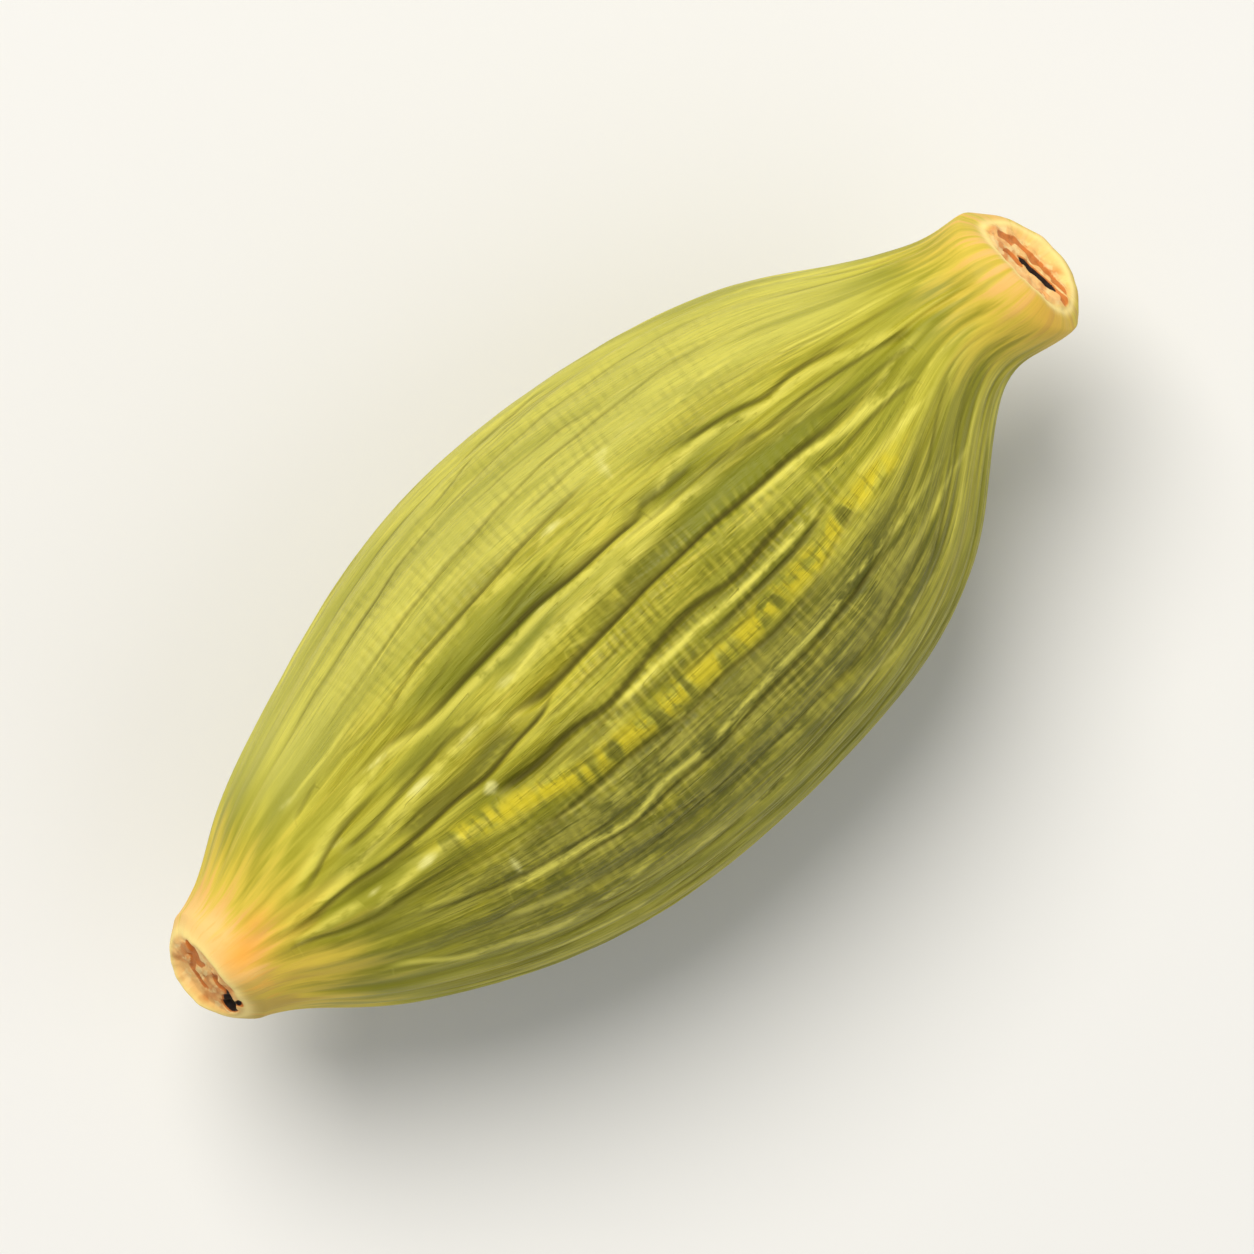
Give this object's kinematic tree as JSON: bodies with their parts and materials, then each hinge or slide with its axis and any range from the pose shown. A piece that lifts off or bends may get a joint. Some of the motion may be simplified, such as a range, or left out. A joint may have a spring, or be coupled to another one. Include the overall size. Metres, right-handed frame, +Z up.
{
  "type": "green cardamom pod",
  "caption": "Whole dried green cardamom pod: a plump ribbed spindle with a drawn-in collar at each end, lying on its side.",
  "frame": {"origin": "centre of the pod's box, on the surface that it rests on", "axes": "+X from the flower end to the stalk end, +Y towards the smoother flank, +Z up"},
  "size_m": [0.02, 0.0088, 0.0082],
  "materials": {
    "pod_skin": "matte"
  },
  "bodies": {
    "root": {"pod": "pod_skin"}
  },
  "joints": []
}
